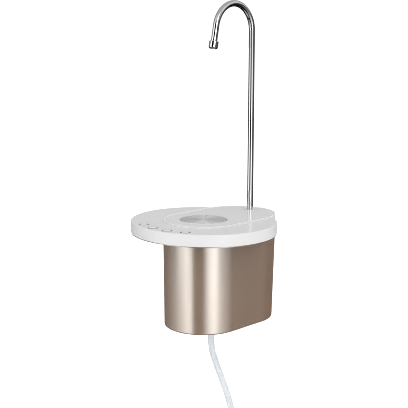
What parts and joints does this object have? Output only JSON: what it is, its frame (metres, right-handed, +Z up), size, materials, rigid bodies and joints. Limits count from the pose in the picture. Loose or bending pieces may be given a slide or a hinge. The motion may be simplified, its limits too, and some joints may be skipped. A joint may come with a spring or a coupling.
{
  "type": "electric water jug pump",
  "caption": "Electric pump head for a large water jug: oval white plate with keys and a metal cup plate, oblong satin body over the neck, swivelling gooseneck spout and hanging suction hose.",
  "frame": {"origin": "centre of the neck socket's mouth, level with the body's underside", "axes": "+Z up along the neck, keys toward -Y, gooseneck swivel axis toward +Y"},
  "size_m": [0.188, 0.2007, 0.7386],
  "materials": {
    "white_gloss": "smooth gloss",
    "key_white": "smooth gloss",
    "champagne": "satin metallic",
    "champagne_plastic": "satin metallic paint",
    "spun_metal": "spun, with fine turned lines",
    "stainless": "polished",
    "dark_plastic": "fine matt",
    "natural_plastic": "moulded",
    "silicone_clear": "translucent",
    "silicone_white": "soft",
    "black_rubber": "soft",
    "pcb_green": "solder mask",
    "black_parts": "moulded",
    "cell_wrap": "shrink film",
    "bright_steel": "bright",
    "wound_copper": "wound",
    "ferrite": "ground",
    "acetal": "machined",
    "wire_red": "insulation",
    "wire_black": "insulation",
    "ribbon_white": "film"
  },
  "bodies": {
    "base": {"top_cover": "white_gloss", "cup_plate": "spun_metal", "cup_plate_pad": "black_rubber", "lower_tray": "champagne_plastic", "tray_screws": "bright_steel", "key_board": "pcb_green", "key_switches": "black_parts", "key_board_screws": "bright_steel", "key_ribbon": "ribbon_white", "body_sleeve": "champagne", "base_cover": "dark_plastic", "base_screws": "bright_steel", "neck_adapter": "natural_plastic", "neck_seal": "silicone_white", "chassis": "natural_plastic", "frame_screws": "bright_steel", "battery_holder": "black_parts", "battery_cells": "cell_wrap", "battery_contacts": "bright_steel", "battery_leads": "wire_red", "main_board": "pcb_green", "board_parts": "black_parts", "board_screws": "bright_steel", "charge_board": "pcb_green", "charge_port": "bright_steel", "motor_can": "bright_steel", "motor_magnets": "ferrite", "motor_end_cap": "black_parts", "motor_leads": "wire_black", "pump_housing": "natural_plastic", "pump_cover": "natural_plastic", "pump_gasket": "black_rubber", "pump_screws": "bright_steel", "pump_mount_screws": "bright_steel", "shaft_seal": "black_rubber", "idler_pin": "bright_steel", "suction_hose": "silicone_clear", "suction_nipple": "natural_plastic", "inlet_hose": "silicone_clear", "outlet_hose": "silicone_clear", "spout_socket": "natural_plastic", "spout_o_rings": "black_rubber", "spout_collar": "silicone_white"},
    "spout": {"spout_tube": "stainless", "spout_nozzle": "stainless", "flow_straightener": "natural_plastic"},
    "key_1": {"key_1": "key_white"},
    "key_2": {"key_2": "key_white"},
    "key_3": {"key_3": "key_white"},
    "key_4": {"key_4": "key_white"},
    "pump_drive": {"motor_shaft": "bright_steel", "motor_rotor": "wound_copper", "drive_gear": "acetal"},
    "pump_idler": {"idler_gear": "acetal"}
  },
  "joints": [
    {"name": "spout_swivel", "type": "hinge", "parent": "base", "child": "spout", "pos_m": [0, 0.0885, 0.13], "axis": [0, 0, 1], "continuous": true},
    {"name": "key_1_press", "type": "slide", "parent": "base", "child": "key_1", "axis": [0, 0, -1], "range_m": [0, 0.0006], "stiffness_N_per_m": 800, "springref_m": -0.0003},
    {"name": "key_2_press", "type": "slide", "parent": "base", "child": "key_2", "axis": [0, 0, -1], "range_m": [0, 0.0006], "stiffness_N_per_m": 800, "springref_m": -0.0003},
    {"name": "key_3_press", "type": "slide", "parent": "base", "child": "key_3", "axis": [0, 0, -1], "range_m": [0, 0.0006], "stiffness_N_per_m": 800, "springref_m": -0.0003},
    {"name": "key_4_press", "type": "slide", "parent": "base", "child": "key_4", "axis": [0, 0, -1], "range_m": [0, 0.0006], "stiffness_N_per_m": 800, "springref_m": -0.0003},
    {"name": "drive_spin", "type": "hinge", "parent": "base", "child": "pump_drive", "pos_m": [-0.008, 0.062, 0.055], "axis": [0, 0, 1], "continuous": true},
    {"name": "idler_spin", "type": "hinge", "parent": "base", "child": "pump_idler", "pos_m": [0.008, 0.062, 0.055], "axis": [0, 0, 1], "continuous": true}
  ],
  "couplings": [
    {"joint": "idler_spin", "follows": "drive_spin", "ratio": -1}
  ]
}
